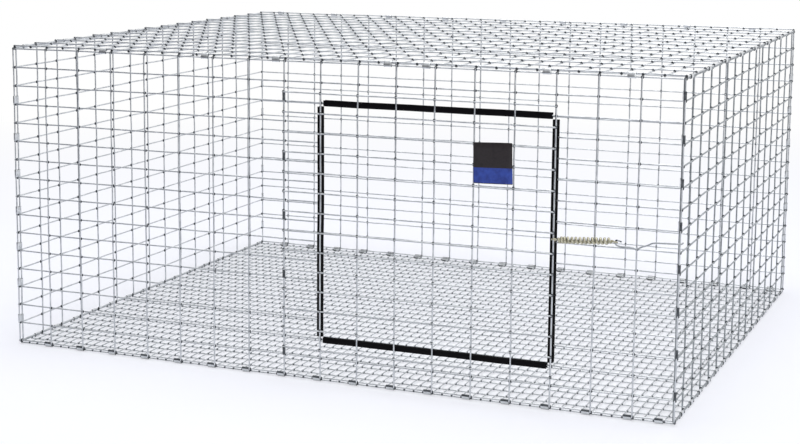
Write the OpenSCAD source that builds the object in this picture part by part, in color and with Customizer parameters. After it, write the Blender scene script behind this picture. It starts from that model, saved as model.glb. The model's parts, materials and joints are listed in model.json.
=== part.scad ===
/* [Cage] */
// Width of the cage between the middles of its outer wires
cage_w = 914.4; // [762:25.4:1219.2]
// Depth of the cage, front to back
cage_d = 762; // [609.6:25.4:914.4]
// Height of the cage walls
cage_h = 406.4; // [355.6:25.4:609.6]

/* [Mesh] */
// Diameter of the wall, top and door wires
wire_d = 2; // [1.6:0.1:2.4]
// Diameter of the floor wires
floor_wire_d = 1.6; // [1.2:0.1:2]
// Wide spacing of the wall, top and door wires
wall_cell_w = 50.8; // [38.1:12.7:76.2]
// Narrow spacing of the wall, top and door wires
wall_cell_h = 25.4; // [19.05:6.35:38.1]
// Spacing of the floor wires that run front to back
floor_cell_w = 12.7; // [12.7:6.35:25.4]
// Spacing of the floor wires that run side to side
floor_cell_d = 25.4; // [25.4:6.35:50.8]
// Gap kept between two wires that cross
weld_gap = 0.05; // [0.03:0.01:0.1]

/* [Door] */
// Width of the door opening
opening_w = 304.8; // [203.2:50.8:355.6]
// Front panel left between the opening and the latch side corner
latch_panel_w = 152.4; // [152.4:50.8:203.2]
// Height of the opening's lower edge above the lowest wall wire
sill_h = 50.8; // [50.8:25.4:101.6]
// Front panel left above the opening
head_h = 50.8; // [50.8:25.4:101.6]
// Distance from the cage wire to the door wire that turns in the same clip
hinge_reach = 5.1; // [5.1:0.1:5.6]
// Sideways shift of the door in its clips, towards the latch
door_shift = 1.8; // [0:0.1:2]
// Gap between a hinge clip and the door wire above it
hinge_play = 0.35; // [0.3:0.05:0.5]
// Door rows from one hinge clip to the next
hinge_clip_rows = 3; // [2:1:6]

/* [Edge guards] */
// Width of a guard strip, as seen from the front
guard_w = 8; // [7:0.5:12]
// Wall of a guard strip
guard_wall = 0.8; // [0.6:0.1:0.8]
// Gap between a guard strip's walls and the mesh it grips
guard_gap = 0.2; // [0.1:0.05:0.2]
// Gap between a guard strip's nose and the end of the next one
guard_corner = 0.3; // [0.3:0.1:3]

/* [Clips] */
// Length of a clip along the wires it holds
clip_len = 10; // [7:0.5:10.5]
// Wall of a clip
clip_wall = 0.8; // [0.6:0.1:1]
// Open seam of a closed clip
clip_seam = 0.8; // [0.4:0.1:1]
// Depth of the flat on which a bottom clip stands
clip_flat = 0.15; // [0.1:0.05:0.3]
// Rows from one corner clip to the next
corner_clip_rows = 2; // [1:1:4]
// Cells from one clip to the next along the side and back top edges
top_clip_cells = 2; // [1:1:4]

/* [Latch] */
// Height of the latch loop above the lowest wall wire
latch_h = 207.8; // [206:0.2:209]
// Rise of the latch spring from the loop to the hook
spring_rise = 4.2; // [0:0.2:5]
// Outer diameter of the latch spring
spring_od = 9; // [7:0.5:10]
// Wire diameter of the latch spring
spring_wire_d = 1.8; // [1:0.1:1.8]
// Turns of the latch spring
spring_turns = 14; // [8:1:14]
// Length of one turn of the latch spring
spring_pitch = 4.6; // [3:0.1:4.6]
// Straight start of the spring beside the door wire
spring_lead = 2.9; // [2:0.1:4]
// Straight end of the spring beside the hook
spring_tail = 3.6; // [2:0.2:4]
// Running gap of the latch loop on the door wire
loop_gap = 0.05; // [0.03:0.01:0.08]
// Gap between pieces that seat on each other but move
seat_gap = 0.3; // [0.2:0.05:0.4]
// Wire diameter of the latch hook
hook_wire_d = 2; // [1.6:0.1:2.2]
// Length of the hook's leg beside the corner wire
hook_leg = 8; // [5:0.5:10]
// Rise of the hook's leg above the spring's end
hook_rise = 2.6; // [2:0.2:4]

/* [Tag] */
// Width of the blank name tag
tag_w = 49.5; // [30:0.5:60]
// Height of the blank name tag
tag_h = 50; // [30:0.5:60]
// Thickness of the blank name tag
tag_t = 1.2; // [0.8:0.1:2]
// Corner radius of the blank name tag
tag_r = 2; // [1:0.5:5]
// Distance from the tag to the opening's latch side edge
tag_from_latch = 49.5; // [20:0.5:120]
// Distance from the tag's top to the opening's upper edge
tag_from_head = 35; // [20:0.5:80]
// Lean of the tag, its right side up
tag_lean = 1.5; // [0:0.5:5]
// Length of each of the small rings that hold the tag
tag_ring_len = 4; // [3:0.5:8]
// Wall of the small rings that hold the tag
tag_ring_wall = 0.6; // [0.5:0.1:0.8]

/* [Hidden] */
$fn = 48;

wire_r = wire_d / 2;
floor_wire_r = floor_wire_d / 2;
layer = wire_d + weld_gap;

// Whole numbers of cells, and the true spacing that fills the cage with them
cols = round(cage_w / wall_cell_w);
rows = round(cage_h / wall_cell_h);
ribs = round(cage_d / wall_cell_w);
top_cols = round(cage_w / wall_cell_h);
floor_cols = round(cage_w / floor_cell_w);
floor_ribs = round(cage_d / floor_cell_d);
col_step = cage_w / cols;
row_step = cage_h / rows;
rib_step = cage_d / ribs;
top_step = cage_w / top_cols;
floor_step = cage_w / floor_cols;
floor_rib_step = cage_d / floor_ribs;

// Wire layers of the front panel and the door, from the inside out
front_h_y = -cage_d / 2 - layer;
front_v_y = front_h_y - layer;
door_v_y = front_v_y - hinge_reach;
door_h_y = door_v_y - layer;
side_h_x = cage_w / 2;
side_v_x = side_h_x - layer;

// Clips are rings round two wires
clip_r = wire_r + weld_gap;
clip_out_r = clip_r + clip_wall;

// The floor hangs under the walls and the cage stands on its bottom clips
floor_y_drop = wire_r + floor_wire_r + weld_gap;
floor_x_drop = floor_y_drop + floor_wire_d + weld_gap;
base_z = floor_x_drop + clip_out_r - clip_flat;
floor_y_z = base_z - floor_y_drop;
floor_x_z = base_z - floor_x_drop;
top_z = base_z + cage_h;
top_y_z = top_z + layer;
top_x_z = top_y_z + layer;

// Columns and rows that bound the door opening
latch_col = cols - round(latch_panel_w / col_step);
hinge_col = latch_col - round(opening_w / col_step);
sill_row = round(sill_h / row_step);
head_row = rows - round(head_h / row_step);
hinge_x = -cage_w / 2 + (hinge_col - 1) * col_step;
latch_x = -cage_w / 2 + latch_col * col_step;
door_hinge_x = hinge_x + door_shift;
door_latch_x = latch_x + door_shift;
door_low_z = base_z + (sill_row - 0.5) * row_step;
door_rows = head_row - sill_row + 1;
hinge_clip_len = row_step / 2 - wire_d - 2 * hinge_play;

guard_in = layer + wire_d + 2 * guard_gap;
guard_t = guard_in + 2 * guard_wall;
guard_y = (front_v_y + front_h_y) / 2;
guard_end = guard_w / 2 + guard_corner;
guard_v_len = (head_row - sill_row) * row_step - 2 * guard_end;
guard_h_len = (latch_col - hinge_col) * col_step - 2 * guard_end;

// Cells of the front top edge that hold a clip
front_top_clip_cells = [5, 11, 15, 21, 23, 29, 33];

// The spring starts beside the loop and climbs to the hook, in front of the panel
latch_z = base_z + latch_h;
loop_r = wire_r + loop_gap + spring_wire_d / 2;
spring_y = front_v_y - wire_r - seat_gap - spring_od / 2;
spring_x = door_latch_x + loop_r + spring_wire_d / 2 + weld_gap;
spring_r = (spring_od - spring_wire_d) / 2;
spring_steps = 8;
spring_ramp = 6;
spring_count = spring_turns * spring_steps;
spring_length = spring_lead + spring_turns * spring_pitch + spring_tail;
spring_tilt = asin(spring_rise / spring_length);
spring_end_x = spring_x + spring_length * cos(spring_tilt);
hook_x = spring_end_x + seat_gap + hook_wire_d / 2;
hook_z = latch_z + spring_rise;
hook_y = front_v_y - wire_r - 1.5 * seat_gap - hook_wire_d / 2;
hook_end_x = cage_w / 2 + wire_r + seat_gap + hook_wire_d / 2;
hook_bend = 2 * hook_wire_d;
hook_sides = 8;

tag_ring_r = wire_r + weld_gap;
tag_back_y = door_h_y - tag_ring_r - tag_ring_wall - weld_gap;
tag_x = latch_x - tag_from_latch - tag_w / 2;
tag_z = base_z + head_row * row_step - tag_from_head - tag_h / 2;

function col_x(i) = -cage_w / 2 + i * col_step;
function row_z(k) = base_z + k * row_step;
function rib_y(j) = -cage_d / 2 + j * rib_step;
function door_z(k) = door_low_z + k * row_step;
function unit(v) = v / norm(v);

// Directions along a path, and a side direction carried along it without twist
function headings(p) =
    [for (i = [0 : len(p) - 1]) unit(p[min(i + 1, len(p) - 1)] - p[max(i - 1, 0)])];
function carried(t, v, i = 0) =
    i == len(t) ? [] : let (w = unit(v - (v * t[i]) * t[i])) concat([w], carried(t, w, i + 1));

// Corner cutting: each inner corner is replaced by two points a quarter of the way along
function rounded(p) = concat(
    [p[0]],
    [for (i = [0 : len(p) - 2]) each [0.75 * p[i] + 0.25 * p[i + 1], 0.25 * p[i] + 0.75 * p[i + 1]]],
    [p[len(p) - 1]]
);

// A point at a distance along the spring's axis, off it sideways and upwards
function spring_point(along, out, up) = [
    spring_x + along * cos(spring_tilt) - up * sin(spring_tilt),
    spring_y + out,
    latch_z + along * sin(spring_tilt) + up * cos(spring_tilt)
];

// The coil opens from its axis over its first turn and closes over its last one
function coil_point(k) =
    let (
        r = spring_r * min(1, k / spring_ramp, (spring_count - k) / spring_ramp),
        turn = 360 * k / spring_steps
    )
    spring_point(spring_lead + k * spring_pitch / spring_steps, r * cos(turn), r * sin(turn));

spring_path = concat(
    [spring_point(0, 0, 0), spring_point(spring_lead / 2, 0, 0)],
    [for (k = [0 : spring_count]) coil_point(k)],
    [spring_point(spring_length - spring_tail / 2, 0, 0), spring_point(spring_length, 0, 0)]
);
spring_self_gap = min([
    for (i = [0 : len(spring_path) - 5])
        for (j = [i + 4 : len(spring_path) - 1])
            norm(spring_path[i] - spring_path[j])
]) - spring_wire_d;
echo(spring_self_gap = spring_self_gap);

// Bends of the hook's wire from its left end: along, inwards (0 to 1) and up
hook_bends = [
    [7.6, 0, 0], [4.6, 0, 1.2], [1.2, 0, 1.6], [0, 0, -0.8], [0.8, 0, -4], [4.4, 0, -5.6],
    [8.5, 0, -6], [17.5, 0.2, -5.5], [26.5, 0.5, -7.8], [31, 0.65, -4.4], [38, 0.8, -2.4],
    [43.4, 0.95, 0.8], [48, 1, 1.6]
];
hook_path = concat(
    [for (b = hook_bends) [hook_x + b.x, spring_y + b.y * (hook_y - spring_y), hook_z + b.z]],
    [
        [hook_end_x - hook_bend, hook_y, hook_z + hook_rise],
        [hook_end_x, hook_y, hook_z + hook_rise],
        [hook_end_x, hook_y + hook_bend, hook_z + hook_rise],
        [hook_end_x, hook_y + hook_leg, hook_z + hook_rise]
    ]
);

module rod_x(x0, x1, y, z, d) {
    translate([x0, y, z])
        rotate([0, 90, 0])
            cylinder(h = x1 - x0, d = d);
}

module rod_y(y0, y1, x, z, d) {
    translate([x, y0, z])
        rotate([-90, 0, 0])
            cylinder(h = y1 - y0, d = d);
}

module rod_z(z0, z1, x, y, d) {
    translate([x, y, z0])
        cylinder(h = z1 - z0, d = d);
}

// Round tube along a path, as triangles
module sweep(path, d, sides, start) {
    t = headings(path);
    n = carried(t, start);
    count = len(path);
    points = [
        for (i = [0 : count - 1])
            for (k = [0 : sides - 1])
                path[i] + d / 2 * (cos(360 * k / sides) * n[i] + sin(360 * k / sides) * cross(t[i], n[i]))
    ];
    walls = [
        for (i = [0 : count - 2])
            for (k = [0 : sides - 1])
                let (a = i * sides + k, b = i * sides + (k + 1) % sides)
                each [[a, b + sides, b], [a, a + sides, b + sides]]
    ];
    first_cap = [for (k = [1 : sides - 2]) [0, k, k + 1]];
    last = (count - 1) * sides;
    last_cap = [for (k = [1 : sides - 2]) [last, last + k + 1, last + k]];
    polyhedron(points = points, faces = concat(walls, first_cap, last_cap), convexity = 10);
}

// Outline round two wires at a distance from each other
module stadium(reach, r) {
    circle(r = r);
    translate([reach, 0])
        circle(r = r);
    translate([0, -r])
        square([reach, 2 * r]);
}

// Clip round two wires, with its seam on one straight side
module clip(reach, length, side) {
    linear_extrude(height = length, center = true)
        difference() {
            stadium(reach, clip_out_r);
            stadium(reach, clip_r);
            translate([(reach - clip_seam) / 2, side > 0 ? 0 : -2 * clip_out_r])
                square([clip_seam, 2 * clip_out_r]);
        }
}

// Clips along X, Y and Z, each from the first wire's middle to the second's
module clip_x(x, a, b, side) {
    translate([x, a.x, a.y])
        rotate([atan2(b.y - a.y, b.x - a.x), 0, 0])
            rotate([90, 0, 90])
                clip(norm(b - a), clip_len, side);
}

module clip_y(y, a, b, side) {
    translate([a.x, y, a.y])
        rotate([0, -atan2(b.y - a.y, b.x - a.x), 0])
            rotate([90, 0, 0])
                clip(norm(b - a), clip_len, side);
}

module clip_z(z, a, b, length, side) {
    translate([a.x, a.y, z])
        rotate([0, 0, atan2(b.y - a.y, b.x - a.x)])
            clip(norm(b - a), length, side);
}

// Everything under the ground plane is cut away, so a clip stands on a flat
module standing() {
    difference() {
        children();
        translate([-cage_w, -cage_d, -2 * clip_out_r])
            cube([2 * cage_w, 2 * cage_d, 2 * clip_out_r]);
    }
}

module floor_mesh() {
    color("silver") {
        for (i = [0 : floor_cols])
            rod_y(
                -cage_d / 2 - floor_wire_r, cage_d / 2 + floor_wire_r,
                -cage_w / 2 + i * floor_step, floor_y_z, floor_wire_d
            );
        for (j = [0 : floor_ribs])
            rod_x(
                -cage_w / 2 - floor_wire_r, cage_w / 2 + floor_wire_r,
                -cage_d / 2 + j * floor_rib_step, floor_x_z, floor_wire_d
            );
    }
}

module top_mesh() {
    color("silver") {
        for (i = [0 : top_cols])
            rod_y(-cage_d / 2 - wire_r, cage_d / 2 + wire_r, -cage_w / 2 + i * top_step, top_y_z, wire_d);
        for (j = [0 : ribs])
            rod_x(-cage_w / 2 - wire_r, cage_w / 2 + wire_r, rib_y(j), top_x_z, wire_d);
    }
}

module front_mesh() {
    low = base_z - wire_r;
    high = top_z + wire_r;
    left = -cage_w / 2 - wire_r;
    right = cage_w / 2 + wire_r;
    color("silver") {
        for (i = [0 : cols])
            if (i <= hinge_col || i >= latch_col) {
                rod_z(low, high, col_x(i), front_v_y, wire_d);
            } else {
                rod_z(low, row_z(sill_row) + wire_r, col_x(i), front_v_y, wire_d);
                rod_z(row_z(head_row) - wire_r, high, col_x(i), front_v_y, wire_d);
            }
        for (k = [0 : rows])
            if (k <= sill_row || k >= head_row) {
                rod_x(left, right, front_h_y, row_z(k), wire_d);
            } else {
                rod_x(left, col_x(hinge_col) + wire_r, front_h_y, row_z(k), wire_d);
                rod_x(col_x(latch_col) - wire_r, right, front_h_y, row_z(k), wire_d);
            }
    }
}

module back_mesh() {
    color("silver") {
        for (i = [0 : cols])
            rod_z(base_z - wire_r, top_z + wire_r, col_x(i), -front_v_y, wire_d);
        for (k = [0 : rows])
            rod_x(-cage_w / 2 - wire_r, cage_w / 2 + wire_r, -front_h_y, row_z(k), wire_d);
    }
}

module side_mesh(side) {
    color("silver") {
        for (j = [0 : ribs])
            rod_z(base_z - wire_r, top_z + wire_r, side * side_v_x, rib_y(j), wire_d);
        for (k = [0 : rows])
            rod_y(-cage_d / 2 - wire_r, cage_d / 2 + wire_r, side * side_h_x, row_z(k), wire_d);
    }
}

// Guard strip pushed over the mesh's cut edge, with its round nose towards the opening
module guard_strip(length) {
    nose_x = guard_w / 2 - guard_t / 2;
    color([0.05, 0.04, 0.05])
        linear_extrude(height = length, center = true)
            difference() {
                union() {
                    translate([-guard_w / 2, -guard_t / 2])
                        square([guard_w / 2 + nose_x, guard_t]);
                    translate([nose_x, 0])
                        circle(d = guard_t);
                }
                translate([-guard_w, -guard_in / 2])
                    square([guard_w + wire_r + seat_gap, guard_in]);
            }
}

module guard_hinge_side() {
    translate([col_x(hinge_col), guard_y, (row_z(sill_row) + row_z(head_row)) / 2])
        guard_strip(guard_v_len);
}

module guard_latch_side() {
    translate([latch_x, guard_y, (row_z(sill_row) + row_z(head_row)) / 2])
        rotate([0, 0, 180])
            guard_strip(guard_v_len);
}

module guard_top() {
    translate([(col_x(hinge_col) + latch_x) / 2, guard_y, row_z(head_row)])
        rotate([0, 90, 0])
            guard_strip(guard_h_len);
}

module guard_bottom() {
    translate([(col_x(hinge_col) + latch_x) / 2, guard_y, row_z(sill_row)])
        rotate([0, -90, 0])
            guard_strip(guard_h_len);
}

// One clip just left of each upright, round the wall's and the floor's edge wires,
// the last one a floor cell further in, clear of the side panel
module clips_front_bottom() {
    color("gainsboro")
        standing()
            for (i = [1 : cols])
                clip_x(
                    col_x(i) - (i < cols ? 0.5 : 1.5) * floor_step,
                    [front_h_y, base_z], [-cage_d / 2, floor_x_z], 1
                );
}

module clips_back_bottom() {
    mirror([0, 1, 0])
        clips_front_bottom();
}

module clips_right_bottom() {
    color("gainsboro")
        for (j = [1 : ribs])
            clip_y(
                rib_y(j) - floor_rib_step / 2,
                [side_h_x, base_z], [side_h_x, floor_y_z], -1
            );
}

module clips_left_bottom() {
    mirror([1, 0, 0])
        clips_right_bottom();
}

module clips_front_top() {
    color("gainsboro")
        for (c = front_top_clip_cells)
            if (c < top_cols)
                clip_x(
                    -cage_w / 2 + (c + 0.5) * top_step,
                    [front_h_y, top_z], [-cage_d / 2, top_x_z], -1
                );
}

module clips_back_top() {
    color("gainsboro")
        for (c = [1 : 2 * top_clip_cells : top_cols - 1])
            clip_x(
                -cage_w / 2 + (c + 0.5) * top_step,
                [-front_h_y, top_z], [cage_d / 2, top_x_z], 1
            );
}

module clips_right_top() {
    color("gainsboro")
        for (j = [1 : top_clip_cells : ribs - 1])
            clip_y(rib_y(j) - rib_step / 2, [side_h_x, top_z], [side_h_x, top_y_z], 1);
}

module clips_left_top() {
    mirror([1, 0, 0])
        clips_right_top();
}

// Clips up one corner, round the front panel's and the side panel's end uprights
module corner_clips(last_row) {
    color("gainsboro")
        for (k = [1 : corner_clip_rows : last_row])
            clip_z(
                row_z(k) + wire_r + seat_gap + clip_len / 2,
                [side_h_x, front_v_y], [side_v_x, -cage_d / 2], clip_len, -1
            );
}

module clips_front_right() {
    corner_clips(rows - 1);
}

module clips_front_left() {
    mirror([1, 0, 0])
        corner_clips(rows - 2);
}

module clips_back_right() {
    mirror([0, 1, 0])
        corner_clips(rows - 2);
}

module clips_back_left() {
    mirror([1, 0, 0])
        mirror([0, 1, 0])
            corner_clips(rows - 2);
}

// Each hinge clip fills the half row under one of the door's wires and carries it
module hinge_clips() {
    upper_rows = [for (k = [door_rows : -hinge_clip_rows : hinge_clip_rows]) k];
    color("gainsboro")
        for (k = concat(upper_rows, [0]))
            clip_z(
                door_z(k) - wire_r - hinge_play - hinge_clip_len / 2,
                [hinge_x, front_v_y], [door_hinge_x, door_v_y], hinge_clip_len, -1
            );
}

module door_mesh() {
    low = door_z(0) - wire_r;
    high = door_z(door_rows) + wire_r;
    color("silver") {
        for (i = [hinge_col - 1 : latch_col])
            rod_z(low, high, col_x(i) + door_shift, door_v_y, wire_d);
        for (k = [0 : door_rows])
            rod_x(door_hinge_x - wire_r, door_latch_x + wire_r, door_h_y, door_z(k), wire_d);
    }
}

module tag_plate() {
    color([0.13, 0.1, 0.12])
        translate([tag_x, tag_back_y, tag_z])
            rotate([90, -tag_lean, 0])
                linear_extrude(height = tag_t)
                    union() {
                        square([tag_w - 2 * tag_r, tag_h], center = true);
                        square([tag_w, tag_h - 2 * tag_r], center = true);
                        for (x = [-1, 1])
                            for (z = [-1, 1])
                                translate([x * (tag_w / 2 - tag_r), z * (tag_h / 2 - tag_r)])
                                    circle(r = tag_r);
                    }
}

// Rings round the door wires that pass behind the tag
module tag_rings() {
    color("gainsboro")
        for (k = [0 : door_rows])
            if (abs(door_z(k) - tag_z) < tag_h / 2)
                for (side = [-1, 1])
                    translate([tag_x + side * tag_w / 4, door_h_y, door_z(k)])
                        rotate([0, 90, 0])
                            difference() {
                                cylinder(h = tag_ring_len, r = tag_ring_r + tag_ring_wall, center = true);
                                cylinder(h = 2 * tag_ring_len, r = tag_ring_r, center = true);
                            }
}

// Loop of the latch that turns on the door's end wire
module latch_loop() {
    color([0.7, 0.69, 0.6])
        translate([door_latch_x, door_v_y, latch_z])
            rotate_extrude()
                translate([loop_r, 0])
                    circle(d = spring_wire_d);
}

module latch_spring() {
    color([0.7, 0.69, 0.6])
        sweep(spring_path, spring_wire_d, 6, [0, 1, 0]);
}

module latch_hook() {
    color("gainsboro")
        sweep(rounded(rounded(hook_path)), hook_wire_d, hook_sides, [0, 1, 0]);
}

floor_mesh();
top_mesh();
front_mesh();
back_mesh();
side_mesh(-1);  // left_mesh
side_mesh(1);  // right_mesh
guard_hinge_side();
guard_latch_side();
guard_top();
guard_bottom();
clips_front_bottom();
clips_back_bottom();
clips_left_bottom();
clips_right_bottom();
clips_front_top();
clips_back_top();
clips_left_top();
clips_right_top();
clips_front_left();
clips_front_right();
clips_back_left();
clips_back_right();
hinge_clips();
door_mesh();
tag_plate();
tag_rings();
latch_loop();
latch_spring();
latch_hook();
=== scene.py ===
import json
import math

import bpy
from mathutils import Euler, Matrix, Vector


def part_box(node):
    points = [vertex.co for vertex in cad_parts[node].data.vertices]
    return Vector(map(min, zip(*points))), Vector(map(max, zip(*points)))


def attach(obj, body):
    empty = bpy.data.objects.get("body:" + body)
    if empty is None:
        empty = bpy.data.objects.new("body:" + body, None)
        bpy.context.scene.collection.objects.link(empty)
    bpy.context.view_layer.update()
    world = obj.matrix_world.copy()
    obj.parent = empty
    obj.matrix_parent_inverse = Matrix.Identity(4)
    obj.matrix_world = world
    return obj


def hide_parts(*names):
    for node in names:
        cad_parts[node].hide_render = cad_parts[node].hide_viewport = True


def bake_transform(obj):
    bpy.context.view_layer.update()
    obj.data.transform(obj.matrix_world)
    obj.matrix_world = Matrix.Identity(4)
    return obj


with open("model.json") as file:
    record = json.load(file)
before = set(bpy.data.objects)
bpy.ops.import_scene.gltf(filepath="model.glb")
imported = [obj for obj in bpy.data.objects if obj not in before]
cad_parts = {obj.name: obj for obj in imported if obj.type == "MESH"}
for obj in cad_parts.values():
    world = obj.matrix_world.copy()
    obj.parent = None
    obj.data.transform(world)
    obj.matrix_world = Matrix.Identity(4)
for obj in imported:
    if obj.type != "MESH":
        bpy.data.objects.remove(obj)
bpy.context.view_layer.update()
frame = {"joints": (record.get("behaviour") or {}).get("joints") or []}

# Floor panel
# Fine welded mesh of drawn steel wire, spot welded at every crossing and dipped in zinc. The
# close wires run front to back on top, so that feet rest on them, and the wide ones below.

X, Y, Z = 0, 1, 2
LOW, HIGH = 0, 1
FLOOR_WIRE = 0.0016
CELL = 0.0508
HALF_CELL = CELL / 2
FLOOR_CELL = CELL / 4
WIRE_SIDES = 10
WIRE_CREASE = 50
SMALL_WELD = 1.8
LARGE_WELD = 2.1
WELD_DEPTH = 2.05
WELD_SEGMENTS = 8
WELD_RINGS = 5
BOW = 0.0012
BOW_LENGTH = 0.07
BOW_REACH = 0.06
NEARLY = 0.9
RAMP_LOW = 0.32
RAMP_HIGH = 0.68
PATCH_DETAIL = 3
PATCH_ROUGHNESS = 0.6
GRAIN_DETAIL = 2
GRAIN_STRENGTH = 0.6


def linear(code):
    """sRGB hex colour as linear RGBA."""
    parts = [int(code[i:i + 2], 16) / 255 for i in (1, 3, 5)]
    return [c / 12.92 if c <= 0.04045 else ((c + 0.055) / 1.055) ** 2.4 for c in parts] + [1]


def add_node(tree, kind, values, links):
    """Adds a node, sets its attributes or sockets by name, and links outputs to its sockets."""
    node = tree.nodes.new(kind)
    for name, value in values.items():
        if hasattr(node, str(name)):
            setattr(node, name, value)
        else:
            node.inputs[name].default_value = value
    for name, output in links.items():
        tree.links.new(output, node.inputs[name])
    return node


def coated(name, values, colours, patch, rough, grain, height):
    """A material whose colour and roughness change in patches, over a fine bumpy grain.

    patch and grain are sizes in metres, rough is the lowest and highest roughness, and height
    is that of the grain, in metres.
    """
    material = bpy.data.materials.new(name)
    material.use_nodes = True
    tree = material.node_tree
    shader = tree.nodes["Principled BSDF"]
    for socket, value in values.items():
        shader.inputs[socket].default_value = value
    place = add_node(tree, "ShaderNodeTexCoord", {}, {}).outputs["Object"]
    patches = add_node(
        tree, "ShaderNodeTexNoise",
        {"Scale": 1 / patch, "Detail": PATCH_DETAIL, "Roughness": PATCH_ROUGHNESS},
        {"Vector": place},
    )
    ramp = add_node(tree, "ShaderNodeValToRGB", {}, {"Fac": patches.outputs["Fac"]})
    stops = ramp.color_ramp.elements
    for i, code in enumerate(colours):
        stop = stops[i] if i < len(stops) else stops.new(1)
        stop.position = RAMP_LOW + (RAMP_HIGH - RAMP_LOW) * i / (len(colours) - 1)
        stop.color = linear(code)
    dull = add_node(
        tree, "ShaderNodeMapRange", {"To Min": rough[0], "To Max": rough[1]},
        {"Value": patches.outputs["Fac"]},
    )
    grains = add_node(
        tree, "ShaderNodeTexNoise", {"Scale": 1 / grain, "Detail": GRAIN_DETAIL}, {"Vector": place}
    )
    bump = add_node(
        tree, "ShaderNodeBump", {"Strength": GRAIN_STRENGTH, "Distance": height},
        {"Height": grains.outputs["Fac"]},
    )
    tree.links.new(ramp.outputs["Color"], shader.inputs["Base Color"])
    tree.links.new(dull.outputs["Result"], shader.inputs["Roughness"])
    tree.links.new(bump.outputs["Normal"], shader.inputs["Normal"])
    return material


# Hot dipped zinc: pale grey metal in soft patches, duller where it has begun to weather.
zinc = coated(
    "hot_dipped_zinc", {"Metallic": 0.9}, ["#b8bcbf", "#cccfd2", "#dcdfe1"],
    patch=0.012, rough=(0.28, 0.45), grain=0.0012, height=0.00008,
)
# The same coating, rougher, in darker tones that are painted shade: the right side panel is made of
# it.
right_zinc_painted_shade = coated(
    "right_zinc_painted_shade", {"Metallic": 0.85}, ["#868b8e", "#9da2a5", "#b3b8bb"],
    patch=0.012, rough=(0.35, 0.55), grain=0.0012, height=0.00008,
)
# Welded zinc: the weld's heat burns the coating to a rough crust, and its nearly black tone is also
# painted shade in the corners where the wires cross.
burnt_weld_and_shade = coated(
    "burnt_weld_and_painted_shade", {"Metallic": 0.3}, ["#303336", "#4d5154"],
    patch=0.006, rough=(0.6, 0.8), grain=0.001, height=0.0001,
)
# The thin floor wires weld with less heat, and their welds stay grey; their dark grey is also painted
# shade where the wires cross.
scorched_weld_and_shade = coated(
    "scorched_weld_and_painted_shade", {"Metallic": 0.3}, ["#3f4347", "#5b5f64"],
    patch=0.006, rough=(0.6, 0.8), grain=0.001, height=0.0001,
)
# The floor's roll: a little rougher than the walls, and darker, which is painted shade under the cage.
floor_zinc_painted_shade = coated(
    "floor_zinc_painted_shade", {"Metallic": 0.9}, ["#a6abae", "#bbbfc2", "#cfd2d5"],
    patch=0.012, rough=(0.3, 0.5), grain=0.0012, height=0.00008,
)


def pick(pieces):
    """Selects pieces, with the first one active."""
    bpy.ops.object.select_all(action="DESELECT")
    for piece in pieces:
        piece.select_set(True)
    bpy.context.view_layer.objects.active = pieces[0]


def settled(piece):
    """Moves a piece's place, turn and size into its mesh."""
    pick([piece])
    bpy.ops.object.transform_apply(location=True, rotation=True, scale=True)
    return piece


def smoothed(piece, crease):
    """Shades a piece smoothly, except over edges that turn by more than the crease in degrees."""
    pick([piece])
    bpy.ops.object.shade_smooth_by_angle(angle=math.radians(crease))
    return piece


def modified(piece, kind, **settings):
    """Adds a modifier to a piece and applies it."""
    pick([piece])
    modifier = piece.modifiers.new(kind.lower(), kind)
    for setting, value in settings.items():
        setattr(modifier, setting, value)
    bpy.ops.object.modifier_apply(modifier=modifier.name)
    return piece


def repeated(piece, step, count):
    """A row of copies of a piece, each one step on from the last."""
    if count == 1:
        return piece
    return modified(
        piece, "ARRAY", count=count, use_relative_offset=False, use_constant_offset=True,
        constant_offset_displace=step,
    )


def picked_in_mesh(piece, kind, test):
    """Opens a piece's mesh for editing, with only those edges, faces or vertices that pass a test."""
    pick([piece])
    bpy.ops.object.mode_set(mode="EDIT")
    bpy.ops.mesh.select_mode(type=kind)
    bpy.ops.mesh.select_all(action="DESELECT")
    bpy.ops.object.mode_set(mode="OBJECT")
    mesh = piece.data
    for part in {"VERT": mesh.vertices, "EDGE": mesh.edges, "FACE": mesh.polygons}[kind]:
        part.select = test(part)
    bpy.ops.object.mode_set(mode="EDIT")


def edge_length(mesh, edge):
    """The length of one edge of a mesh."""
    a, b = (mesh.vertices[i].co for i in edge.vertices)
    return (a - b).length


def wire(start, end, thick, metal):
    """A straight round wire, cut into short lengths so that it can bow."""
    along = end - start
    bpy.ops.object.select_all(action="DESELECT")
    bpy.ops.mesh.primitive_cylinder_add(
        vertices=WIRE_SIDES, radius=thick / 2, depth=along.length, location=start + along / 2,
        rotation=along.to_track_quat("Z", "Y").to_euler(),
    )
    piece = settled(bpy.context.object)
    mesh = piece.data
    picked_in_mesh(piece, "EDGE", lambda edge: edge_length(mesh, edge) > NEARLY * along.length)
    bpy.ops.mesh.subdivide(number_cuts=max(1, round(along.length / FLOOR_CELL) - 1))
    bpy.ops.object.mode_set(mode="OBJECT")
    mesh.materials.append(metal)
    return smoothed(piece, WIRE_CREASE)


def wires(low, high, thick, along, across, step, side, metal=zinc):
    """A layer of parallel wires that fills a box, on the low or the high side of its thickness."""
    thin = X + Y + Z - along - across
    start = low.copy()
    start[across] += thick / 2
    start[thin] = high[thin] - thick / 2 if side == HIGH else low[thin] + thick / 2
    end = start.copy()
    end[along] = high[along]
    move = Vector()
    move[across] = step
    count = round((high[across] - low[across] - thick) / step) + 1
    return repeated(wire(start, end, thick, metal), move, count)


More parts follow.
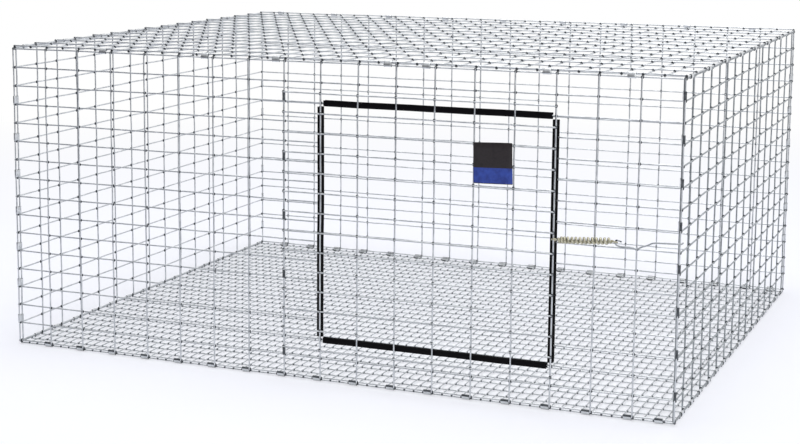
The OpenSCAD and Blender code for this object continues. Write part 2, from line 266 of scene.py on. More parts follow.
def welds(low, high, thick, steps, width=LARGE_WELD, metal=burnt_weld_and_shade):
    """Weld pads at every crossing in a box: blobs that fill the corners between two layers of wires,
    dark as burnt coating and as painted shade.

    width is that of a blob, in wire diameters.
    """
    thin = X + Y + Z - sum(steps)
    place = low + Vector((thick / 2, thick / 2, thick / 2))
    place[thin] = (low[thin] + high[thin]) / 2
    bpy.ops.object.select_all(action="DESELECT")
    bpy.ops.mesh.primitive_uv_sphere_add(
        segments=WELD_SEGMENTS, ring_count=WELD_RINGS, radius=thick / 2, location=place
    )
    piece = bpy.context.object
    piece.scale = [WELD_DEPTH if axis == thin else width for axis in (X, Y, Z)]
    settled(piece)
    bpy.ops.object.shade_smooth()
    piece.data.materials.append(metal)
    for axis, step in steps.items():
        move = Vector()
        move[axis] = step
        repeated(piece, move, round((high[axis] - low[axis] - thick) / step) + 1)
    return piece


hand_bow = bpy.data.textures.new("hand_bow", "CLOUDS")
hand_bow.cloud_type = "COLOR"
hand_bow.noise_scale = BOW_LENGTH
hand_bow.noise_depth = 1
hinge_axes = [Vector(joint["pos_m"][:2]) for joint in frame["joints"] if joint["type"] == "hinge"]


def placed(parts, name, body, slot, *nodes):
    """Joins parts into one piece, bows it as handling bows thin wire, and puts it in its nodes' place.

    The bow depends on the place alone, so what crosses or holds at one place stays together. It
    fades out towards the upright wires that the door and the latch turn on, which stay straight.
    A piece with no body is left free, to be blended across two.
    """
    pick(parts)
    if len(parts) > 1:
        bpy.ops.object.join()
    piece = parts[0]
    bowed = piece.vertex_groups.new(name="bowed")
    bowed.add(range(len(piece.data.vertices)), 1, "REPLACE")
    for vertex in piece.data.vertices:
        reach = min((vertex.co.xy - axis).length for axis in hinge_axes)
        if reach < BOW_REACH:
            bowed.add([vertex.index], reach / BOW_REACH, "REPLACE")
    modified(
        piece, "DISPLACE", texture=hand_bow, texture_coords="LOCAL", direction="RGB_TO_XYZ",
        strength=BOW, mid_level=0.5, vertex_group=bowed.name,
    )
    piece.vertex_groups.clear()
    piece.name = name
    piece.data.name = name
    if body:
        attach(piece, body)
    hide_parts(*nodes)
    return piece


def mesh_panel(name, body, node, thick, *layers, metal=zinc, weld=(LARGE_WELD, burnt_weld_and_shade)):
    """A whole panel in a CAD node's box: two layers of wires, welded where they cross."""
    low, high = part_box(node)
    parts = [wires(low, high, thick, *layer, metal) for layer in layers]
    parts.append(welds(low, high, thick, {layer[1]: layer[2] for layer in layers}, *weld))
    return placed(parts, name, body, "galvanised_wire", node)


# The floor's darker zinc is painted shade.
mesh_panel(
    "floor_panel", "cage", "floor_mesh", FLOOR_WIRE, (Y, X, FLOOR_CELL, HIGH), (X, Y, HALF_CELL, LOW),
    metal=floor_zinc_painted_shade, weld=(SMALL_WELD, scorched_weld_and_shade),
)

# Top, back and side panels
# Welded mesh of thicker wire with 1 by 2 inch cells, cut from one roll. The sides keep their
# level wires outside and the back its upright ones, and the top's long wires lie uppermost.

WIRE = 0.002

mesh_panel(
    "top_panel", "cage", "top_mesh", WIRE, (Y, X, HALF_CELL, LOW), (X, Y, CELL, HIGH),
    weld=(SMALL_WELD, burnt_weld_and_shade),
)
mesh_panel("back_panel", "cage", "back_mesh", WIRE, (Z, X, CELL, HIGH), (X, Z, HALF_CELL, LOW))
mesh_panel("left_panel", "cage", "left_mesh", WIRE, (Y, Z, HALF_CELL, LOW), (Z, Y, CELL, HIGH))
# The right side's darker zinc is painted shade.
mesh_panel(
    "right_panel", "cage", "right_mesh", WIRE, (Y, Z, HALF_CELL, HIGH), (Z, Y, CELL, LOW),
    metal=right_zinc_painted_shade,
)

# Front panel
# The same mesh with a square opening cut out of it, so that the wires round the opening end at
# its four edge wires. Its upright wires lie outside.

front_low, front_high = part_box("front_mesh")
edge_nodes = ("guard_hinge_side", "guard_latch_side", "guard_bottom", "guard_top")
edge_boxes = [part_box(node) for node in edge_nodes]
edge_middles = [(low + high) / 2 for low, high in edge_boxes]
hinge_edge_x = edge_middles[0].x
latch_edge_x = edge_middles[1].x
sill_z = edge_middles[2].z
head_z = edge_middles[3].z
uprights = (Z, X, CELL, LOW)
rows = (X, Z, HALF_CELL, HIGH)


def front_block(x0, x1, z0, z1):
    """A part of the front panel's box, between the middles of its edge wires."""
    low = Vector((x0 - WIRE / 2, front_low.y, z0 - WIRE / 2))
    high = Vector((x1 + WIRE / 2, front_high.y, z1 + WIRE / 2))
    return low, high


left_x = front_low.x + WIRE / 2
right_x = front_high.x - WIRE / 2
low_z = front_low.z + WIRE / 2
high_z = front_high.z - WIRE / 2
beside_opening = [
    front_block(left_x, hinge_edge_x, low_z, high_z), front_block(latch_edge_x, right_x, low_z, high_z)
]
over_and_under = [
    front_block(left_x, right_x, low_z, sill_z), front_block(left_x, right_x, head_z, high_z)
]
short_uprights = [
    front_block(hinge_edge_x + CELL, latch_edge_x - CELL, low_z, sill_z),
    front_block(hinge_edge_x + CELL, latch_edge_x - CELL, head_z, high_z),
]
short_rows = [
    front_block(left_x, hinge_edge_x, sill_z + HALF_CELL, head_z - HALF_CELL),
    front_block(latch_edge_x, right_x, sill_z + HALF_CELL, head_z - HALF_CELL),
]
front_parts = [wires(*block, WIRE, *uprights) for block in beside_opening + short_uprights]
front_parts += [wires(*block, WIRE, *rows) for block in over_and_under + short_rows]
front_parts += [
    welds(*block, WIRE, {X: CELL, Z: HALF_CELL}) for block in beside_opening + short_uprights
]
placed(front_parts, "front_panel", "cage", "galvanised_wire", "front_mesh")

# Clips
# Strips of zinc plated sheet steel, bent round the edge wires of two panels and squeezed shut
# with pliers, which leaves a waist in the middle and an open seam on one side.

CLIP_SHEET = 0.0008
CLIP_LENGTH = 0.01
PLAY = 0.00005
CLIP_BORE = WIRE / 2 + PLAY
CLIP_SEAM = 0.0008
CLIP_WAIST = 0.9
CLIP_SPANS = (0.3, 0.2, 0.2, 0.3)
CLIP_SIDES = 16
RIM_FACING = 0.7
FOLD_CREASE = 40
TOP_FRONT_CLIP_CELLS = (5, 11, 15, 21, 23, 29, 33)

# Plated sheet steel: brighter and smoother than the dipped wire.
plated = coated(
    "zinc_plated_sheet", {"Metallic": 0.9}, ["#c4c7ca", "#dfe2e4"],
    patch=0.006, rough=(0.22, 0.4), grain=0.0015, height=0.00005,
)
# Dark and dull: bare steel at the cut ends of the strips and the hook and where the hook is rubbed; on
# the clips it is also painted shade along their rims and over their bends.
bare_steel_and_shade = coated(
    "cut_steel_and_painted_shade", {"Metallic": 0.6}, ["#3d4043", "#63676a"],
    patch=0.004, rough=(0.5, 0.7), grain=0.001, height=0.00005,
)


def clip(first, second, along, seam_side, painted_shade_bends):
    """One clip round two wires, given by their middles at the clip's own middle."""
    reach = (second - first).length
    radius = CLIP_BORE + CLIP_SHEET / 2
    bpy.ops.object.select_all(action="DESELECT")
    bpy.ops.mesh.primitive_circle_add(
        vertices=CLIP_SIDES, radius=radius, rotation=(0, math.radians(90), 0)
    )
    piece = bpy.context.object
    piece.rotation_euler.rotate(Euler((math.pi / CLIP_SIDES, 0, 0)))
    settled(piece)
    mesh = piece.data
    picked_in_mesh(piece, "VERT", lambda vertex: vertex.co.y > 0)
    bpy.ops.transform.translate(value=(0, reach, 0))
    bpy.ops.object.mode_set(mode="OBJECT")

    picked_in_mesh(
        piece, "EDGE",
        lambda edge: edge_length(mesh, edge) > NEARLY * reach
        and mesh.vertices[edge.vertices[0]].co.z * seam_side > 0,
    )
    bpy.ops.mesh.subdivide(number_cuts=2)
    bpy.ops.object.mode_set(mode="OBJECT")
    for vertex in mesh.vertices[-2:]:
        side = 1 if vertex.co.y > reach / 2 else -1
        vertex.co.y = reach / 2 + side * CLIP_SEAM / 2
    ends = {len(mesh.vertices) - 1, len(mesh.vertices) - 2}
    picked_in_mesh(piece, "EDGE", lambda edge: set(edge.vertices) == ends)
    bpy.ops.mesh.delete(type="EDGE")
    bpy.ops.mesh.select_all(action="SELECT")
    bpy.ops.transform.translate(value=(-CLIP_LENGTH / 2, 0, 0))
    for share in CLIP_SPANS:
        bpy.ops.mesh.extrude_region_move(
            TRANSFORM_OT_translate={"value": (share * CLIP_LENGTH, 0, 0)}
        )
    bpy.ops.object.mode_set(mode="OBJECT")
    picked_in_mesh(piece, "VERT", lambda vertex: abs(vertex.co.x) < CLIP_LENGTH / 10)
    bpy.ops.transform.resize(value=(1, 1, CLIP_WAIST), center_override=(0, 0, 0))
    bpy.ops.mesh.select_all(action="SELECT")
    bpy.ops.mesh.normals_make_consistent(inside=False)
    bpy.ops.object.mode_set(mode="OBJECT")
    modified(piece, "SOLIDIFY", thickness=CLIP_SHEET, offset=0)
    modified(piece, "BEVEL", width=CLIP_SHEET / 5, segments=2, limit_method="ANGLE")
    mesh.materials.append(plated)
    mesh.materials.append(bare_steel_and_shade)
    # Painted shade: the rims, and where asked the bends round each wire, take the dark steel.
    for face in mesh.polygons:
        bent = painted_shade_bends and not 0 < face.center.y < reach
        face.material_index = int(bent or abs(face.normal.x) > RIM_FACING)
    across = (second - first).normalized()
    piece.matrix_world = Matrix.Translation(first) @ Matrix(
        (along, across, along.cross(across))
    ).transposed().to_4x4()
    return smoothed(settled(piece), FOLD_CREASE)


def clip_row(node, first, second, along, places, seam_side, painted_shade_bends=False):
    """The clips of one edge: one is made at the first place, and copied to the others."""
    axis = list(along).index(1)
    for middle in (first, second):
        middle[axis] = places[0]
    made = clip(first, second, along, seam_side, painted_shade_bends)
    parts = [made]
    for place in places[1:]:
        copy = made.copy()
        copy.data = made.data.copy()
        bpy.context.collection.objects.link(copy)
        copy.location[axis] += place - places[0]
        parts.append(settled(copy))
    return placed(parts, node + "_folded", "cage", "clip_steel", node)


def row_places(node, axis, step):
    """Places of a regular row of clips along a CAD node's box."""
    low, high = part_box(node)
    count = round((high[axis] - low[axis] - CLIP_LENGTH) / step) + 1
    return [low[axis] + CLIP_LENGTH / 2 + i * step for i in range(count)]


floor_low, floor_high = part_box("floor_mesh")
top_low, top_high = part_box("top_mesh")
side_low, side_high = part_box("right_mesh")
along_x, along_y, along_z = Vector((1, 0, 0)), Vector((0, 1, 0)), Vector((0, 0, 1))
row_y = front_high.y - WIRE / 2
upright_y = front_low.y + WIRE / 2
floor_edge_y = floor_low.y + FLOOR_WIRE / 2
floor_under_z = floor_low.z + FLOOR_WIRE / 2
floor_over_z = floor_high.z - FLOOR_WIRE / 2
top_edge_y = top_low.y + WIRE / 2
top_over_z = top_high.z - WIRE / 2
top_under_z = top_low.z + WIRE / 2
side_row_x = side_high.x - WIRE / 2
side_upright_x = side_low.x + WIRE / 2

for node, side in (("clips_front_bottom", 1), ("clips_back_bottom", -1)):
    low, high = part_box(node)
    regular = round((right_x - left_x) / CELL) - 1
    places = [low.x + CLIP_LENGTH / 2 + i * CELL for i in range(regular)]
    places.append(high.x - CLIP_LENGTH / 2)
    clip_row(
        node, Vector((0, side * row_y, low_z)), Vector((0, side * floor_edge_y, floor_under_z)),
        along_x, places, side, painted_shade_bends=True,
    )
for node, side in (("clips_left_bottom", -1), ("clips_right_bottom", 1)):
    clip_row(
        node, Vector((side * side_row_x, 0, low_z)), Vector((side * side_row_x, 0, floor_over_z)),
        along_y, row_places(node, Y, CELL), side,
    )

front_top_places = [left_x + (c + 0.5) * HALF_CELL for c in TOP_FRONT_CLIP_CELLS]
back_top_places = row_places("clips_back_top", X, 4 * HALF_CELL)
for node, side, places in (
    ("clips_front_top", 1, front_top_places), ("clips_back_top", -1, back_top_places)
):
    clip_row(
        node, Vector((0, side * row_y, high_z)), Vector((0, side * top_edge_y, top_over_z)),
        along_x, places, -side,
    )
for node, side in (("clips_left_top", -1), ("clips_right_top", 1)):
    clip_row(
        node, Vector((side * side_row_x, 0, high_z)), Vector((side * side_row_x, 0, top_under_z)),
        along_y, row_places(node, Y, 2 * CELL), -side,
    )
for node, side, depth in (
    ("clips_front_left", -1, 1), ("clips_front_right", 1, 1),
    ("clips_back_left", -1, -1), ("clips_back_right", 1, -1),
):
    clip_row(
        node, Vector((side * side_row_x, depth * upright_y, 0)),
        Vector((side * side_upright_x, depth * top_edge_y, 0)),
        along_z, row_places(node, Z, 2 * HALF_CELL), -side * depth,
        painted_shade_bends=side > 0 and depth > 0,
    )

# Door
# A panel of the same mesh, larger than the opening and hung outside it. Its end wire on the
# left turns in five long clips that are closed round the front panel's next upright wire.

HINGE_CLIP_ROWS = (0, 4, 7, 10, 13)
HINGE_PLAY = 0.00035

door_low, door_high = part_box("door_mesh")
mesh_panel("door_panel", "door", "door_mesh", WIRE, (Z, X, CELL, HIGH), (X, Z, HALF_CELL, LOW))

hinge_x = door_low.x + WIRE / 2
hinge_places = [
    door_low.z + k * HALF_CELL - HINGE_PLAY - CLIP_LENGTH / 2 for k in HINGE_CLIP_ROWS
]
clip_row(
    "hinge_clips", Vector((hinge_edge_x - CELL, upright_y, 0)),
    Vector((hinge_x, door_high.y - WIRE / 2, 0)),
    along_z, hinge_places, -1, painted_shade_bends=True,
)

# Edge guards
# Four lengths of soft black plastic trim, a U section with a round nose, pushed over the cut
# wire ends round the opening so that nothing scratches the animal or a hand.

GUARD_WALL = 0.0008
GUARD_SIDES = 20

# Black vinyl: a soft extruded plastic, matt with a faint sheen, dusty grey in places.
vinyl = coated(
    "black_vinyl", {"IOR": 1.52, "Specular IOR Level": 0.08}, ["#050406", "#0b090c"],
    patch=0.02, rough=(0.5, 0.7), grain=0.0008, height=0.00006,
)


def guard(node, run, nose):
    """A strip in a CAD node's box that runs along one axis, with its nose in one direction."""
    low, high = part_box(node)
    middle = (low + high) / 2
    axis = list(run).index(1)
    length = high[axis] - low[axis]
    radius = (high.y - low.y) / 2
    width = (high - low).dot(Vector([abs(c) for c in nose]))
    bpy.ops.object.select_all(action="DESELECT")
    bpy.ops.mesh.primitive_circle_add(vertices=2 * GUARD_SIDES, radius=radius - GUARD_WALL / 2)
    piece = bpy.context.object
    picked_in_mesh(piece, "VERT", lambda vertex: vertex.co.x < -radius / 100)
    bpy.ops.mesh.delete(type="VERT")
    bpy.ops.object.mode_set(mode="OBJECT")
    picked_in_mesh(piece, "VERT", lambda vertex: vertex.co.x < radius / 100)
    bpy.ops.mesh.extrude_region_move(
        TRANSFORM_OT_translate={"value": (radius - width + GUARD_WALL / 4, 0, 0)}
    )
    bpy.ops.mesh.select_all(action="SELECT")
    bpy.ops.transform.translate(value=(width / 2 - radius, 0, -length / 2))
    bpy.ops.mesh.extrude_region_move(TRANSFORM_OT_translate={"value": (0, 0, length)})
    bpy.ops.object.mode_set(mode="OBJECT")
    mesh = piece.data
    picked_in_mesh(piece, "EDGE", lambda edge: edge_length(mesh, edge) > NEARLY * length)
    bpy.ops.mesh.subdivide(number_cuts=round(length / FLOOR_CELL) - 1)
    bpy.ops.mesh.select_all(action="SELECT")
    bpy.ops.mesh.normals_make_consistent(inside=False)
    bpy.ops.object.mode_set(mode="OBJECT")
    modified(piece, "SOLIDIFY", thickness=GUARD_WALL, offset=0)
    modified(piece, "BEVEL", width=GUARD_WALL / 3, segments=2, limit_method="ANGLE")
    piece.matrix_world = Matrix.Translation(middle) @ Matrix(
        (nose, run.cross(nose), run)
    ).transposed().to_4x4()
    mesh.materials.append(vinyl)
    return placed([smoothed(settled(piece), FOLD_CREASE)], node + "_trim", "cage", "edge_guard", node)


guard("guard_hinge_side", along_z, along_x)
guard("guard_latch_side", along_z, -along_x)
guard("guard_top", along_x, -along_z)
guard("guard_bottom", along_x, along_z)

# Name tag
# A blank plastic plate, printed dark above and blue below, that hangs flat on the door in four
# wire rings.

TAG_LEAN = math.radians(1.5)
TAG_CORNER = 0.001
TAG_EDGE = 0.0003
TAG_BLUE_SHARE = 0.386
TAG_HEM = -0.482
TAG_ROWS = (-0.4, -0.25, 0.05, 0.2, 0.35)
TAG_COLUMNS = (-0.35, -0.2, 0, 0.2, 0.35)
TAG_BACK = 0.5
RING_LENGTH = 0.004
RING_WALL = 0.00065
RING_WIRE = 0.0006
RING_TURNS = 4
RING_PITCH = RING_LENGTH / 4.2

tag_low, tag_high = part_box("tag_plate")
tag_middle = (tag_low + tag_high) / 2
tag_box = tag_high - tag_low
# The plate's own sides, from the upright box that it fills as it leans.
lean_cos, lean_sin = math.cos(TAG_LEAN), math.sin(TAG_LEAN)
lean_scale = lean_cos ** 2 - lean_sin ** 2
tag_w = (tag_box.x * lean_cos - tag_box.z * lean_sin) / lean_scale
tag_h = (tag_box.z * lean_cos - tag_box.x * lean_sin) / lean_scale

# Printed plastic: a smooth card with a dark brown print, lightly mottled.
print_dark = coated(
    "tag_print_dark", {"IOR": 1.5, "Coat Weight": 0.3, "Coat Roughness": 0.25},
    ["#1a1416", "#272021", "#201a18"], patch=0.006, rough=(0.35, 0.5), grain=0.0008, height=0.00002,
)
# The same card with a royal blue print.
print_blue = coated(
    "tag_print_blue", {"IOR": 1.5, "Coat Weight": 0.3, "Coat Roughness": 0.25},
    ["#1c317c", "#2a479f"], patch=0.008, rough=(0.35, 0.5), grain=0.0008, height=0.00002,
)

bpy.ops.object.select_all(action="DESELECT")
bpy.ops.mesh.primitive_cube_add(size=1, scale=(tag_w, tag_box.y, tag_h))
tag = settled(bpy.context.object)
picked_in_mesh(tag, "EDGE", lambda edge: edge_length(tag.data, edge) < 2 * tag_box.y)
bpy.ops.mesh.bevel(offset=TAG_CORNER, segments=5, affect="EDGES")
bpy.ops.object.mode_set(mode="OBJECT")
modified(
    tag, "BEVEL", width=TAG_EDGE, segments=2, limit_method="ANGLE", angle_limit=math.radians(60)
)
# Two cuts part the blue from the dark above it and from a thin dark strip along the bottom edge, and
# the others let the card bow.
break_z = (TAG_BLUE_SHARE - 0.5) * tag_h
hem_z = TAG_HEM * tag_h
cuts = [((0, 0, z), (0, 0, 1)) for z in (break_z, hem_z, *(row * tag_h for row in TAG_ROWS))]
cuts += [((column * tag_w, 0, 0), (1, 0, 0)) for column in TAG_COLUMNS]
for place, normal in cuts:
    picked_in_mesh(tag, "FACE", lambda face: True)
    bpy.ops.mesh.bisect(plane_co=place, plane_no=normal)
    bpy.ops.object.mode_set(mode="OBJECT")
tag.data.materials.append(print_dark)
tag.data.materials.append(print_blue)
for face in tag.data.polygons:
    face.material_index = int(hem_z < face.center.z < break_z and face.normal.y < TAG_BACK)
tag.matrix_world = Matrix.Translation(tag_middle) @ Euler((0, -TAG_LEAN, 0)).to_matrix().to_4x4()
placed([smoothed(settled(tag), FOLD_CREASE)], "tag_card", "door", "name_tag", "tag_plate")

# Each ring is a few turns of thin wire round a door row, close together.
ring_low, ring_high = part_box("tag_rings")
ring_radius = WIRE / 2 + PLAY + RING_WIRE / 2
door_row_y = door_low.y + WIRE / 2
ring_rows = [ring_low.z + WIRE / 2 + RING_WALL, ring_high.z - WIRE / 2 - RING_WALL]
rings = []
for ring_x in (ring_low.x + RING_LENGTH / 2, ring_high.x - RING_LENGTH / 2):
    for ring_z in ring_rows:
        for turn in range(RING_TURNS):
            turn_x = ring_x + (turn - (RING_TURNS - 1) / 2) * RING_PITCH
            bpy.ops.object.select_all(action="DESELECT")
            bpy.ops.mesh.primitive_torus_add(
                major_radius=ring_radius, minor_radius=RING_WIRE / 2, major_segments=24,
                minor_segments=8, location=(turn_x, door_row_y, ring_z),
                rotation=(0, math.radians(90), 0),
            )
            ring = settled(bpy.context.object)
            bpy.ops.object.shade_smooth()
            ring.data.materials.append(plated)
            rings.append(ring)
placed(rings, "tag_wire_rings", "door", "clip_steel", "tag_rings")

# Latch spring
# A coil of yellowed spring wire that stretches as the hook is pulled. A loop at its left end turns
# on the door's end wire, and one at its right end holds the hook.

SPRING_WIRE = 0.0018
SPRING_OUTER = 0.009
SPRING_TURNS = 14
SPRING_STEPS = 20
SPRING_LEAD = 0.0029
SPRING_TAIL = 0.0024
SPRING_RISE = 0.0042
COIL_WIRE = 0.0035
COIL_OPENING = 0.25
TIGHT_TURNS = 3
TIGHT_PITCH = 0.0037
LOOP_RISE = 0.0026
LOOP_STEPS = 16
LOOP_STEP_ANGLE = 20
HOOK_WIRE = 0.002
HOOK_EYE = Vector((0.0004, 0, -0.001))
HOOK_PLAY = 0.0003
BENT_CREASE = 60

# Yellowed spring wire: bright drawn steel under an oily, slightly yellow film.
spring_steel = coated(
    "yellowed_spring_wire", {"Metallic": 0.7}, ["#a5a18b", "#cdc9b2"],
    patch=0.004, rough=(0.3, 0.45), grain=0.001, height=0.00004,
)


def bent_wire(name, points, thick, material, resolution, shares=()):
    """Round wire bent along a line of points, with a share of its thickness at each if given."""
    line = bpy.data.curves.new(name, "CURVE")
    line.dimensions = "3D"
    line.bevel_depth = thick / 2
    line.bevel_resolution = resolution
    line.use_fill_caps = True
    run = line.splines.new("POLY")
    run.points.add(len(points) - 1)
    for point, place in zip(run.points, points):
        point.co = (*place, 1)
    for point, share in zip(run.points, shares):
        point.radius = share
    piece = bpy.data.objects.new(name, line)
    bpy.context.collection.objects.link(piece)
    pick([piece])
    bpy.ops.object.convert(target="MESH")
    piece = bpy.context.object
    piece.data.materials.append(material)
    return smoothed(piece, BENT_CREASE)


loop_low, loop_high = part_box("latch_loop")
spring_low, spring_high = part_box("latch_spring")
hook_low, hook_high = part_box("latch_hook")
loop_middle = (loop_low + loop_high) / 2
loop_radius = (loop_high.x - loop_low.x - SPRING_WIRE) / 2
coil_radius = (SPRING_OUTER - COIL_WIRE) / 2
spring_start = Vector((spring_low.x, (spring_low.y + spring_high.y) / 2, loop_middle.z))
spring_run = Vector((spring_high.x - spring_low.x, 0, SPRING_RISE))
spring_length = spring_run.length
spring_along = spring_run.normalized()
spring_up = Vector((-spring_along.z, 0, spring_along.x))
coil_length = spring_length - SPRING_LEAD - SPRING_TAIL
hook_x = hook_low.x + HOOK_WIRE / 2
hook_z = loop_middle.z + SPRING_RISE


def end_loop(middle, radius, first, rise):
    """Points of a rising turn of wire round an upright wire, from a first angle in degrees."""
    angles = [math.radians(first + LOOP_STEP_ANGLE * i) for i in range(LOOP_STEPS + 1)]
    return [
        middle + Vector((radius * math.cos(a), radius * math.sin(a), rise * (i / LOOP_STEPS - 0.5)))
        for i, a in enumerate(angles)
    ]


def spring_point(along, out, up):
    """A point beside the spring's axis, which rises from the door to the hook."""
    return spring_start + along * spring_along + Vector((0, out, 0)) + up * spring_up


coil_points = []
open_pitch = (coil_length - TIGHT_TURNS * TIGHT_PITCH) / (SPRING_TURNS - TIGHT_TURNS)
for i in range(SPRING_TURNS * SPRING_STEPS + 1):
    turn = i / SPRING_STEPS
    opening = min(1, COIL_OPENING + turn, COIL_OPENING + SPRING_TURNS - turn)
    angle = 2 * math.pi * turn
    along = min(turn, TIGHT_TURNS) * TIGHT_PITCH + max(0, turn - TIGHT_TURNS) * open_pitch
    coil_points.append(
        spring_point(
            SPRING_LEAD + along,
            opening * coil_radius * math.cos(angle), opening * coil_radius * math.sin(angle),
        )
    )
door_loop = end_loop(loop_middle, loop_radius, LOOP_STEP_ANGLE, LOOP_RISE)
door_loop.append(spring_point(SPRING_LEAD / 2, 0, 0))
eye_middle = Vector((hook_x, spring_start.y, hook_z)) + HOOK_EYE
hook_loop = end_loop(eye_middle, loop_radius + HOOK_PLAY, 180 + LOOP_STEP_ANGLE, -LOOP_RISE)
thin = SPRING_WIRE / COIL_WIRE
coil = bent_wire(
    "coil", door_loop + coil_points + hook_loop, COIL_WIRE, spring_steel, resolution=3,
    shares=[thin] * len(door_loop) + [1] * len(coil_points) + [thin] * len(hook_loop),
)
placed([coil], "spring_coil", None, "spring_steel", "latch_spring", "latch_loop")
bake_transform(coil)

# Latch hook
# A length of the mesh's own wire, bent by hand: an eye in the spring's end loop, a wavy reach
# across the front panel, and an end that hooks round the corner's upright wire.

HOOK_LEG = 0.008
HOOK_RISE = 0.0026
HOOK_GAP = 0.00045
HOOK_CUT = 0.0017
HOOK_HELD = Vector((-0.0061, 0, 0.001))
CORNER_CUT = 0.25
# Each bend from the tip on: millimetres along, share of the way in to the panel, millimetres up.
HOOK_BENDS = (
    (7.6, 0, 0), (4.6, 0, 1.2), (1.2, 0, 1.6), (0, 0, -0.8), (0.8, 0, -4), (4.4, 0, -5.6),
    (8.5, 0, -6), (17.5, 0.2, -5.5), (26.5, 0.5, -7.8), (31, 0.65, -4.4), (38, 0.8, -2.4),
    (43.4, 0.95, 0.8), (48, 1, 1.6),
)

# Handled zinc: the same coating, rubbed and dulled where fingers pull the hook.
handled_zinc = coated(
    "handled_zinc", {"Metallic": 0.85}, ["#9ca0a3", "#b8bbbe"],
    patch=0.006, rough=(0.35, 0.55), grain=0.0012, height=0.00008,
)

hook_outer_y = spring_start.y
hook_inner_y = front_low.y - HOOK_GAP - HOOK_WIRE / 2
hook_end_x = hook_high.x - HOOK_WIRE / 2
hook_in = hook_inner_y - hook_outer_y
hook_points = [
    Vector((hook_x + x / 1000, hook_outer_y + share * hook_in, hook_z + z / 1000))
    for x, share, z in HOOK_BENDS
]
hook_points += [
    Vector((hook_end_x - 2 * HOOK_WIRE, hook_inner_y, hook_z + HOOK_RISE)),
    Vector((hook_end_x, hook_inner_y, hook_z + HOOK_RISE)),
    Vector((hook_end_x, hook_inner_y + 2 * HOOK_WIRE, hook_z + HOOK_RISE)),
    Vector((hook_end_x, hook_inner_y + HOOK_LEG, hook_z + HOOK_RISE)),
]


def rounded(points):
    """Cuts each corner of a line of points into two."""
    cut = [points[0]]
    for a, b in zip(points, points[1:]):
        cut += [a.lerp(b, CORNER_CUT), a.lerp(b, 1 - CORNER_CUT)]
    return cut + [points[-1]]


hook_line = rounded(rounded(rounded(hook_points)))
hook = bent_wire("hook", hook_line, HOOK_WIRE, handled_zinc, resolution=4)
# The steel is bare where the wire was cut and where the spring's loop rubs it.
hook.data.materials.append(bare_steel_and_shade)
for face in hook.data.polygons:
    place = face.center - hook_points[0]
    if place.length < HOOK_CUT or (place - HOOK_HELD).length < HOOK_CUT:
        face.material_index = 1
placed([hook], "hook_wire", "hook", "galvanised_wire", "latch_hook")

# Studio
# A white floor that runs out of view, a wide soft lamp overhead, a smaller one in front on the
# right, and a white surround that the metal mirrors.

FLOOR_REACH = 15
SHADOW_SHARE = 0.56
CARD_SIDE = (1.6, 1, 0)
CARD_DARK = -2.1
CARD_WHITE = -0.85
SHADOW_NEAR = 0.8
SHADOW_FAR = 2.5
WHITE = (1, 1, 1, 1)
WHITE_SIDE = (0.4, 0.7, 0.9)
DARK_SIDE = 0.05
SKY_DARK = -0.35
SKY_WHITE = 0.5
SKY_LIGHT = 0.55
# Each lamp's name, place, side in metres and power in watts.
LAMPS = (("overhead", (0.1, 0.2, 3.4), 3.0, 82), ("front_right", (1.6, -2.9, 1.8), 1.6, 28))
LAMP_AIM = Vector((0, 0, 0.2))

# White card: matt. Seen directly it is mostly plain white, with a faint shadow near the object and
# none far off. In a mirror it also has that faint shadow, and its glow dims towards the left and
# front, a painted shade that the metal reflects.
white_card = coated(
    "studio_card", {"IOR": 1.3}, ["#f4f5fb", "#f8f9fd"],
    patch=0.8, rough=(0.85, 0.9), grain=0.05, height=0.0001,
)


def mirrored(tree):
    """One where a surface is seen in a mirror or through glass."""
    rays = add_node(tree, "ShaderNodeLightPath", {}, {})
    return add_node(
        tree, "ShaderNodeMath", {"operation": "MAXIMUM"},
        {0: rays.outputs["Is Glossy Ray"], 1: rays.outputs["Is Transmission Ray"]},
    ).outputs["Value"]


def in_view(tree):
    """One where a surface is seen directly."""
    return add_node(tree, "ShaderNodeLightPath", {}, {}).outputs["Is Camera Ray"]


card = white_card.node_tree
card_seen = add_node(
    card, "ShaderNodeMath", {"operation": "MAXIMUM"}, {0: in_view(card), 1: mirrored(card)}
)
card_place = add_node(card, "ShaderNodeTexCoord", {}, {})
card_reach = add_node(
    card, "ShaderNodeVectorMath", {"operation": "LENGTH"}, {"Vector": card_place.outputs["Object"]}
)
card_white = add_node(
    card, "ShaderNodeMapRange",
    {"From Min": SHADOW_NEAR, "From Max": SHADOW_FAR, "To Min": 1 - SHADOW_SHARE, "To Max": 1},
    {"Value": card_reach.outputs["Value"]},
)
card_share = add_node(
    card, "ShaderNodeMath", {"operation": "MULTIPLY"},
    {0: card_seen.outputs["Value"], 1: card_white.outputs["Result"]},
)
# Painted shade in reflections: as mirrored, the card's glow dims towards the left and front.
card_aside = add_node(
    card, "ShaderNodeVectorMath", {"operation": "DOT_PRODUCT", 1: CARD_SIDE},
    {0: card_place.outputs["Object"]},
)
card_mirrored = add_node(
    card, "ShaderNodeMapRange",
    {"From Min": CARD_DARK, "From Max": CARD_WHITE, "To Min": DARK_SIDE, "To Max": 1},
    {"Value": card_aside.outputs["Value"]},
)
card_light = add_node(
    card, "ShaderNodeMath", {"operation": "MAXIMUM"},
    {0: in_view(card), 1: card_mirrored.outputs["Result"]},
)
glow = add_node(
    card, "ShaderNodeEmission", {"Color": WHITE}, {"Strength": card_light.outputs["Value"]}
)
card_finish = card.nodes["Principled BSDF"].outputs["BSDF"]
card_mix = add_node(
    card, "ShaderNodeMixShader", {},
    {0: card_share.outputs["Value"], 1: card_finish, 2: glow.outputs["Emission"]},
)
card.links.new(card_mix.outputs["Shader"], card.nodes["Material Output"].inputs["Surface"])
bpy.ops.object.select_all(action="DESELECT")
bpy.ops.mesh.primitive_plane_add(size=2 * FLOOR_REACH)
studio_floor = bpy.context.object
studio_floor.name = "studio_floor"
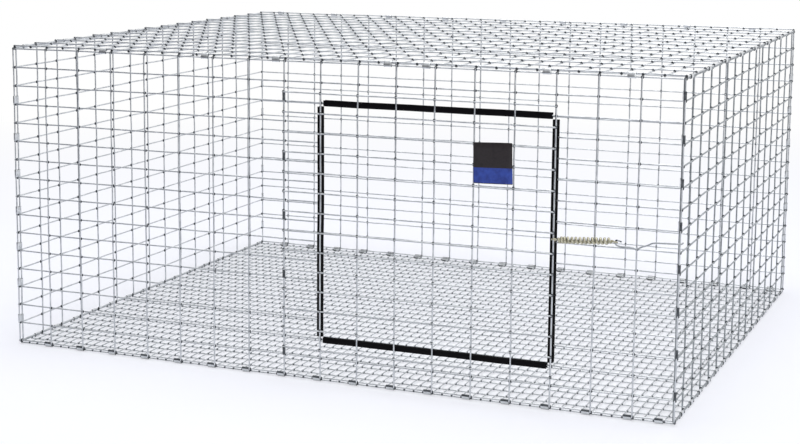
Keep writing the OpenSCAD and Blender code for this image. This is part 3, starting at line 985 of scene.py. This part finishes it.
studio_floor.data.materials.append(white_card)

scene = bpy.context.scene
scene.view_settings.view_transform = "Standard"
world = bpy.data.worlds.new("studio")
scene.world = world
world.use_nodes = True
sky = world.node_tree
sky.nodes.clear()
# The surround is white behind and above, and darker on the side the picture is taken from, so
# upright wires show dark and those that point into the picture show white.
heading = add_node(sky, "ShaderNodeTexCoord", {}, {})
towards = add_node(
    sky, "ShaderNodeVectorMath", {"operation": "DOT_PRODUCT", 1: WHITE_SIDE},
    {0: heading.outputs["Generated"]},
)
lit = add_node(
    sky, "ShaderNodeMapRange",
    {"From Min": SKY_DARK, "From Max": SKY_WHITE, "To Min": DARK_SIDE, "To Max": 1},
    {"Value": towards.outputs["Value"]},
)
dim = add_node(
    sky, "ShaderNodeBackground", {"Color": linear("#e8ecff"), "Strength": SKY_LIGHT}, {}
)
mirror_white = add_node(
    sky, "ShaderNodeBackground", {"Color": WHITE}, {"Strength": lit.outputs["Result"]}
)
white = add_node(sky, "ShaderNodeBackground", {"Color": WHITE, "Strength": 1}, {})
unseen = add_node(
    sky, "ShaderNodeMixShader", {},
    {0: mirrored(sky), 1: dim.outputs["Background"], 2: mirror_white.outputs["Background"]},
)
surround = add_node(
    sky, "ShaderNodeMixShader", {},
    {0: in_view(sky), 1: unseen.outputs["Shader"], 2: white.outputs["Background"]},
)
add_node(sky, "ShaderNodeOutputWorld", {}, {"Surface": surround.outputs["Shader"]})

for name, place, size, power in LAMPS:
    bpy.ops.object.select_all(action="DESELECT")
    bpy.ops.object.light_add(type="AREA", location=place)
    lamp = bpy.context.object
    lamp.name = name
    lamp.data.shape = "SQUARE"
    lamp.data.size = size
    lamp.data.energy = power
    lamp.rotation_euler = (LAMP_AIM - Vector(place)).to_track_quat("-Z", "Y").to_euler()

# Camera
# A long lens to the right of the front and a little above it, at the photograph's viewing angle.
# Its small shift frames the hutch.

CAMERA_PLACE = (0.8769, -2.3507, 0.6173)
CAMERA_TURN = (81.248, -0.17, 23.971)
CAMERA_LENS = 77.72
CAMERA_SHIFT = (0.0955, -0.075)

bpy.ops.object.select_all(action="DESELECT")
bpy.ops.object.camera_add(location=CAMERA_PLACE, rotation=[math.radians(a) for a in CAMERA_TURN])
camera = bpy.context.object
camera.data.sensor_width = 36
camera.data.lens = CAMERA_LENS
camera.data.shift_x, camera.data.shift_y = CAMERA_SHIFT
scene.camera = camera
